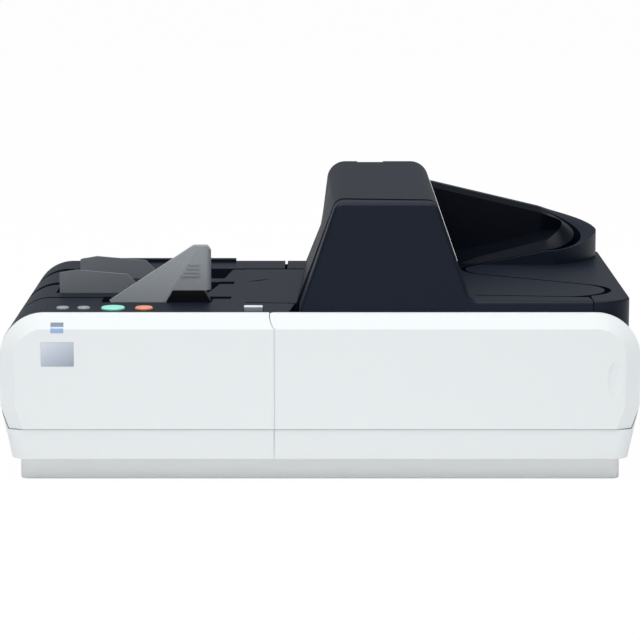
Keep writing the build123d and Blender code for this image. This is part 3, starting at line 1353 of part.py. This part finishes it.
with BuildPart() as door_catch:
    box(catch_x - 8, catch_x + 8, catch_y, catch_y + 12, catch_z - 6, floor_under)
    fillet(door_catch.edges().filter_by(Axis.Z), 1.0)
save(door_catch.part, "door_catch")

# ------------------------------------------------------ electrics and sockets ---
board_x = (39.0 - chassis_half, 159.0 - chassis_half)
board_y = (-60.0, 100.0)
board_z = pan_floor_top + 6.0
with BuildPart() as main_board:
    box(*board_x, *board_y, board_z, board_z + 1.6)
    for x in (board_x[0] + 5, board_x[1] - 5):
        for y in (board_y[0] + 5, board_y[1] - 5):
            post(x, y, 3.0, pan_floor_top, board_z)
    with Locations((-150, 20, board_z + 1.6), (-105, 60, board_z + 1.6), (-110, -20, board_z + 1.6)):
        Box(22, 22, 3, align=(Align.CENTER, Align.CENTER, Align.MIN))
    with Locations((-170, -40, board_z + 1.6), (-150, -40, board_z + 1.6), (-130, -40, board_z + 1.6)):
        Cylinder(5, 12, align=(Align.CENTER, Align.CENTER, Align.MIN))
save(main_board.part, "main_board")

supply_x = (chassis_half - 99.0, chassis_half - 15.0)
supply_y = (chassis_rear - 108.0, chassis_rear - 16.0)
with BuildPart() as power_supply:
    box(*supply_x, *supply_y, pan_floor_top + 3, pan_floor_top + 4.6)
    for x in (supply_x[0] + 5, supply_x[1] - 5):
        for y in (supply_y[0] + 5, supply_y[1] - 5):
            post(x, y, 3.0, pan_floor_top, pan_floor_top + 3)
    box(150, 186, 40, 72, pan_floor_top + 4.6, pan_floor_top + 30)
    with Locations((142, 96, pan_floor_top + 4.6), (166, 96, pan_floor_top + 4.6)):
        Cylinder(8, 26, align=(Align.CENTER, Align.CENTER, Align.MIN))
    box(194, 198, 34, 100, pan_floor_top + 4.6, pan_floor_top + 28)
save(power_supply.part, "power_supply")

socket_depth = 22.0
flange = 1.6
socket_face = case_rear - 2.0           # the rear wall leans in below the taper
flange_face = case_rear - 5.0


def socket_block(x, z, width, height, depth):
    """Body of one socket with the flange that bears on the rear wall."""
    box(x - width / 2, x + width / 2, socket_face - depth, socket_face, z - height / 2, z + height / 2)
    box(x - width / 2 - flange, x + width / 2 + flange, flange_face - flange, flange_face,
        z - height / 2 - flange, z + height / 2 + flange)


with BuildPart() as rear_sockets:
    socket_block(inlet_x, inlet_z, inlet_width, inlet_height, socket_depth)
    socket_block(usb_x, usb_z, 12, 11, 16)
    socket_block(switch_x, inlet_z, 12, 20, 18)
    # power inlet: cavity with three flat pins
    box(inlet_x - inlet_width / 2 + 1.5, inlet_x + inlet_width / 2 - 1.5, socket_face - 18, socket_face + 1,
        inlet_z - inlet_height / 2 + 1.5, inlet_z + inlet_height / 2 - 1.5, Mode.SUBTRACT)
    for dx, dz in ((-7, -2), (7, -2), (0, 2)):
        box(inlet_x + dx - 1, inlet_x + dx + 1, socket_face - 18, socket_face - 4, inlet_z + dz - 2,
            inlet_z + dz + 2)
    # square data socket with its tongue
    box(usb_x - 4.4, usb_x + 4.4, socket_face - 9, socket_face + 1, usb_z - 4, usb_z + 4, Mode.SUBTRACT)
    box(usb_x - 2.8, usb_x + 2.8, socket_face - 10, socket_face - 4, usb_z - 1.4, usb_z + 1.4)
    # well of the power rocker
    box(switch_x - 5, switch_x + 5, socket_face - 12, socket_face + 1, inlet_z - 8.8, inlet_z + 8.8,
        Mode.SUBTRACT)
save(rear_sockets.part, "rear_sockets")

rocker_tilt = 8.0
rocker_pivot = (switch_x, socket_face - 5.0, inlet_z)
with BuildPart() as power_rocker:
    with BuildSketch(Plane.YZ.offset(switch_x - 4.7)):
        with BuildLine():
            tilt = math.radians(rocker_tilt)
            corners = [(-3.5, -5.0), (-3.5, 5.0), (4.6, 7.8), (3.2, 0.0), (4.6, -7.8)]
            Polyline(*[(rocker_pivot[1] + y * math.cos(tilt) - z * math.sin(tilt),
                        rocker_pivot[2] + y * math.sin(tilt) + z * math.cos(tilt)) for y, z in corners],
                     close=True)
        make_face()
    extrude(amount=9.4)
    with Locations(rocker_pivot):
        Cylinder(1.2, 9.9, rotation=(0, 90, 0))
save(power_rocker.part, "power_rocker")
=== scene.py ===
import bpy
import json
import math
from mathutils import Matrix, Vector

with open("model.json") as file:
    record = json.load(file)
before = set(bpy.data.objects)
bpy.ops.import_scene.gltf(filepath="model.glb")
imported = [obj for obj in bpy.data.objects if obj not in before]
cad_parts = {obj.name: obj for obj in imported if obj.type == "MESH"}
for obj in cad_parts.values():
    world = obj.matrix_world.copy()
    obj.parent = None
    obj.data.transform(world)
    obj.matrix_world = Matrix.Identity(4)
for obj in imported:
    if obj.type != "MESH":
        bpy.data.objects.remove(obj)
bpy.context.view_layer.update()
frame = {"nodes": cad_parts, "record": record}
nodes = frame["nodes"]

# metres, degrees and pixels; the sensor is in millimetres
cameraView = {"place": (0.0, -2.295, 0.4959), "pitchDown": 9.6, "focalPixels": 2748.0, "imagePixels": 640,
              "sensor": 36.0}

cameraData = bpy.data.cameras.new("sceneCamera")
cameraData.sensor_width = cameraView["sensor"]
cameraData.lens = cameraView["focalPixels"] / cameraView["imagePixels"] * cameraView["sensor"]
sceneCamera = bpy.data.objects.new("sceneCamera", cameraData)
sceneCamera.location = cameraView["place"]
sceneCamera.rotation_euler = (math.radians(90 - cameraView["pitchDown"]), 0, 0)
bpy.context.scene.collection.objects.link(sceneCamera)
bpy.context.scene.camera = sceneCamera
print("camera set")


class Link:
    # one output socket, with operators that add Math nodes

    def __init__(self, sheet, socket):
        self.sheet = sheet
        self.socket = socket

    def maths(self, operation, other=None, flipped=False):
        values = [self] if other is None else ([other, self] if flipped else [self, other])
        return self.sheet.node("ShaderNodeMath", {"operation": operation}, values)

    def __add__(self, other):
        return self.maths("ADD", other)

    def __sub__(self, other):
        return self.maths("SUBTRACT", other)

    def __mul__(self, other):
        return self.maths("MULTIPLY", other)

    def __truediv__(self, other):
        return self.maths("DIVIDE", other)

    def __radd__(self, other):
        return self.maths("ADD", other, True)

    def __rsub__(self, other):
        return self.maths("SUBTRACT", other, True)

    def __rmul__(self, other):
        return self.maths("MULTIPLY", other, True)

    def __lt__(self, other):
        return self.maths("LESS_THAN", other)

    def __gt__(self, other):
        return self.maths("GREATER_THAN", other)

    def clamped(self):
        held = self.maths("ADD", 0.0)
        held.socket.node.use_clamp = True
        return held


class Sheet:
    # one material and its nodes

    def __init__(self, name):
        self.material = bpy.data.materials.new(name)
        self.material.use_nodes = True
        self.tree = self.material.node_tree
        self.shader = self.tree.nodes["Principled BSDF"]
        self.coordinates = self.tree.nodes.new("ShaderNodeTexCoord").outputs["Object"]
        parts = self.tree.nodes.new("ShaderNodeSeparateXYZ")
        self.tree.links.new(self.coordinates, parts.inputs[0])
        self.x, self.y, self.z = [Link(self, parts.outputs[i]) for i in range(3)]

    def node(self, kind, settings, values, output=0):
        made = self.tree.nodes.new(kind)
        for key, value in settings.items():
            setattr(made, key, value)
        pairs = values.items() if isinstance(values, dict) else enumerate(values)
        for key, value in pairs:
            if isinstance(value, Link):
                self.tree.links.new(value.socket, made.inputs[key])
            else:
                made.inputs[key].default_value = value
        return Link(self, made.outputs[output])

    def noise(self, scale, detail=2.0, roughness=0.5):
        place = Link(self, self.coordinates)
        return self.node("ShaderNodeTexNoise", {}, {"Vector": place, "Scale": scale, "Detail": detail,
                                                    "Roughness": roughness})

    def mix(self, share, first, second):
        first = (*first, 1.0) if isinstance(first, tuple) and len(first) == 3 else first
        second = (*second, 1.0) if isinstance(second, tuple) and len(second) == 3 else second
        return self.node("ShaderNodeMix", {"data_type": "RGBA"}, {0: share, 6: first, 7: second}, 2)

    def set(self, name, value):
        if isinstance(value, Link):
            self.tree.links.new(value.socket, self.shader.inputs[name])
        else:
            if isinstance(value, tuple) and len(value) == 3:
                value = (*value, 1.0)
            self.shader.inputs[name].default_value = value

    def bump(self, height, strength, distance):
        values = {"Height": height, "Strength": strength, "Distance": distance}
        made = self.node("ShaderNodeBump", {}, values)
        self.set("Normal", made)


def moulded(name, colour, roughness, grain, shine=0.5, sheen=(1.0, 1.0, 1.0)):
    # plastic with spark-eroded grain: a fine pebble bump and a slight change of tone and gloss
    sheet = Sheet(name)
    broad = sheet.noise(grain["patches"], grain["detail"])
    fine = sheet.noise(grain["scale"], grain["detail"], 0.6)
    darker = tuple(part * (1 - grain["tone"]) for part in colour)
    lighter = tuple(min(1.0, part * (1 + grain["tone"])) for part in colour)
    sheet.base = sheet.mix(broad, darker, lighter)
    sheet.set("Base Color", sheet.base)
    sheet.set("Roughness", roughness - grain["gloss"] / 2 + fine * grain["gloss"])
    sheet.set("Specular IOR Level", shine)
    sheet.set("Specular Tint", sheen)
    sheet.bump(fine, grain["strength"], grain["depth"])
    return sheet


def band(value, low, high):
    # 1 between two values, 0 outside
    return (value > low) * (value < high)


whiteGrain = {"patches": 9.0, "detail": 3.0, "scale": 1500.0, "tone": 0.006, "gloss": 0.05,
              "strength": 0.10, "depth": 0.0002}
blackGrain = {"patches": 9.0, "detail": 3.0, "scale": 1300.0, "tone": 0.06, "gloss": 0.08,
              "strength": 0.25, "depth": 0.0002}
blueSheen = (0.80, 0.88, 1.0)
sheets = {
    "white_casing": moulded("whiteCasing", (0.765, 0.79, 0.795), 0.40, whiteGrain, 0.4),
    "white_plinth": moulded("whitePlinth", (0.78, 0.79, 0.79), 0.45, whiteGrain, 0.4),
    "black_casing": moulded("blackCasing", (0.0050, 0.0078, 0.0160), 0.42, blackGrain, 0.16, blueSheen),
    "black_guide": moulded("blackGuide", (0.0025, 0.0034, 0.0065), 0.30, blackGrain, 0.09, blueSheen),
    "control_black": moulded("controlBlack", (0.0060, 0.0080, 0.0160), 0.42, blackGrain, 0.14, blueSheen),
    "paddle_grey": moulded("paddleGrey", (0.285, 0.305, 0.325), 0.38, blackGrain),
    "carriage_black": moulded("carriageBlack", (0.0035, 0.0042, 0.0060), 0.22, blackGrain, 0.12),
    "plate_dark": moulded("plateDark", (0.185, 0.200, 0.222), 0.36, blackGrain, 0.3),
    "button_grey": moulded("buttonGrey", (0.27, 0.31, 0.34), 0.35, whiteGrain),
    "button_teal": moulded("buttonTeal", (0.30, 0.80, 0.68), 0.35, whiteGrain),
    "button_orange": moulded("buttonOrange", (0.84, 0.31, 0.19), 0.35, whiteGrain),
    "lever_grey": moulded("leverGrey", (0.27, 0.30, 0.34), 0.35, whiteGrain),
    "badge_bare": moulded("badgeBare", (0.45, 0.49, 0.56), 0.30, whiteGrain),
    "status_lens": moulded("statusLens", (0.33, 0.42, 0.62), 0.25, whiteGrain),
    "steel": moulded("zincSteel", (0.45, 0.45, 0.46), 0.35, blackGrain),
    "roller_rubber": moulded("rollerRubber", (0.045, 0.045, 0.047), 0.75, blackGrain),
    "belt_rubber": moulded("beltRubber", (0.03, 0.03, 0.03), 0.7, blackGrain),
    "foot_rubber": moulded("footRubber", (0.035, 0.035, 0.035), 0.8, blackGrain),
    "bush_plastic": moulded("bushPlastic", (0.62, 0.58, 0.48), 0.5, whiteGrain),
    "camera_black": moulded("cameraBlack", (0.03, 0.03, 0.03), 0.5, blackGrain),
    "board_green": moulded("boardGreen", (0.02, 0.14, 0.06), 0.5, blackGrain),
    "socket_black": moulded("socketBlack", (0.018, 0.018, 0.02), 0.45, blackGrain),
}
sheets["steel"].set("Metallic", 1.0)

# the bare badge: brushed silver with a painted reflection, lighter at its top and left
badge = sheets["badge_bare"]
badgeLook = {"left": -0.2215, "width": 0.026, "low": 0.0957, "height": 0.0195,
             "pale": (0.66, 0.70, 0.77), "deep": (0.30, 0.34, 0.42),
             "upShare": 0.6, "leftShare": 0.4, "metal": 0.35}
across = ((badge.x - badgeLook["left"]) * (1 / badgeLook["width"])).clamped()
upward = ((badge.z - badgeLook["low"]) * (1 / badgeLook["height"])).clamped()
# painted reflection: the badge colour is blended lighter towards its top and left edges
badgePaintedReflection = (upward * badgeLook["upShare"] + (1 - across) * badgeLook["leftShare"]).clamped()
badge.set("Base Color", badge.mix(badgePaintedReflection, badgeLook["deep"], badgeLook["pale"]))
badge.set("Metallic", badgeLook["metal"])

# the status window: a dark upper part, a pale line, a blue lower part
window = sheets["status_lens"]
windowLook = {"split": 0.1268, "line": 0.0006, "upper": (0.24, 0.28, 0.36), "lower": (0.32, 0.43, 0.66),
              "pale": (0.62, 0.70, 0.84)}
windowBase = window.mix(window.z > windowLook["split"], windowLook["lower"], windowLook["upper"])
windowEnds = [windowLook["split"] + side * windowLook["line"] for side in (-1, 1)]
windowLine = band(window.z, *windowEnds)
windowBase = window.mix(windowLine, windowBase, windowLook["pale"])
window.set("Base Color", windowBase)

# the release lever: pale top over a grey body
lever = sheets["lever_grey"]
leverLook = {"topStarts": 0.1402, "top": (0.62, 0.68, 0.74), "body": (0.24, 0.27, 0.31)}
lever.set("Base Color", lever.mix(lever.z > leverLook["topStarts"], leverLook["body"], leverLook["top"]))

finishes = {name: sheet.material for name, sheet in sheets.items()}
for row in frame["record"]["subparts"]:
    part = nodes[row["node"]]
    part.data.materials.clear()
    part.data.materials.append(finishes[row["material_slot"]])
print("finishes set")


studio = {"floor": 60.0, "floorTone": (0.9, 0.9, 0.9), "floorRoughness": 0.9, "white": (1, 1, 1, 1),
          "aim": (0, 0, 0.1),
          "floorGlow": 0.98, "worldFill": 0.34, "worldColour": (0.93, 0.97, 1.0, 1.0),
          "topLamp": {"place": (-0.15, -0.45, 2.3), "size": 2.4, "power": 66.0},
          "frontLamp": {"place": (0.1, -3.4, 1.5), "size": 2.2, "power": 15.5}}

floorMesh = bpy.data.meshes.new("floor")
half = studio["floor"] / 2
floorCorners = [(-half, -half, 0), (half, -half, 0), (half, half, 0), (-half, half, 0)]
floorMesh.from_pydata(floorCorners, [], [(0, 1, 2, 3)])
floor = bpy.data.objects.new("floor", floorMesh)
bpy.context.scene.collection.objects.link(floor)
floorSheet = Sheet("paleFloor")
floorSheet.set("Base Color", studio["floorTone"])
floorSheet.set("Roughness", studio["floorRoughness"])
glow = floorSheet.tree.nodes.new("ShaderNodeEmission")
glow.inputs["Color"].default_value = studio["white"]
blend = floorSheet.tree.nodes.new("ShaderNodeMixShader")
path = floorSheet.tree.nodes.new("ShaderNodeLightPath")
# seen straight or through a clear piece, the floor glows white; elsewhere it is a plain pale floor
plainRays = [Link(floorSheet, path.outputs[name]) for name in ("Is Camera Ray", "Is Transmission Ray")]
share = (plainRays[0] + plainRays[1]).clamped() * studio["floorGlow"]
floorSheet.tree.links.new(share.socket, blend.inputs[0])
floorSheet.tree.links.new(floorSheet.shader.outputs[0], blend.inputs[1])
floorSheet.tree.links.new(glow.outputs[0], blend.inputs[2])
floorSheet.tree.links.new(blend.outputs[0], floorSheet.tree.nodes["Material Output"].inputs[0])
floorMesh.materials.append(floorSheet.material)

world = bpy.data.worlds.new("studio")
bpy.context.scene.world = world
world.use_nodes = True
worldTree = world.node_tree
backdrop = worldTree.nodes["Background"]
worldPath = worldTree.nodes.new("ShaderNodeLightPath")
strength = worldTree.nodes.new("ShaderNodeMix")
strength.inputs[2].default_value = studio["worldFill"]
strength.inputs[3].default_value = 1.0
worldTree.links.new(worldPath.outputs["Is Camera Ray"], strength.inputs[0])
worldTree.links.new(strength.outputs[0], backdrop.inputs["Strength"])
backdrop.inputs["Color"].default_value = studio["worldColour"]

for name in ("topLamp", "frontLamp"):
    lampData = bpy.data.lights.new(name, "AREA")
    lampData.size = studio[name]["size"]
    lampData.energy = studio[name]["power"]
    lamp = bpy.data.objects.new(name, lampData)
    lamp.location = studio[name]["place"]
    lamp.rotation_euler = (Vector(studio["aim"]) - lamp.location).to_track_quat("-Z", "Y").to_euler()
    bpy.context.scene.collection.objects.link(lamp)

bpy.context.scene.view_settings.view_transform = "Standard"
print("studio set")
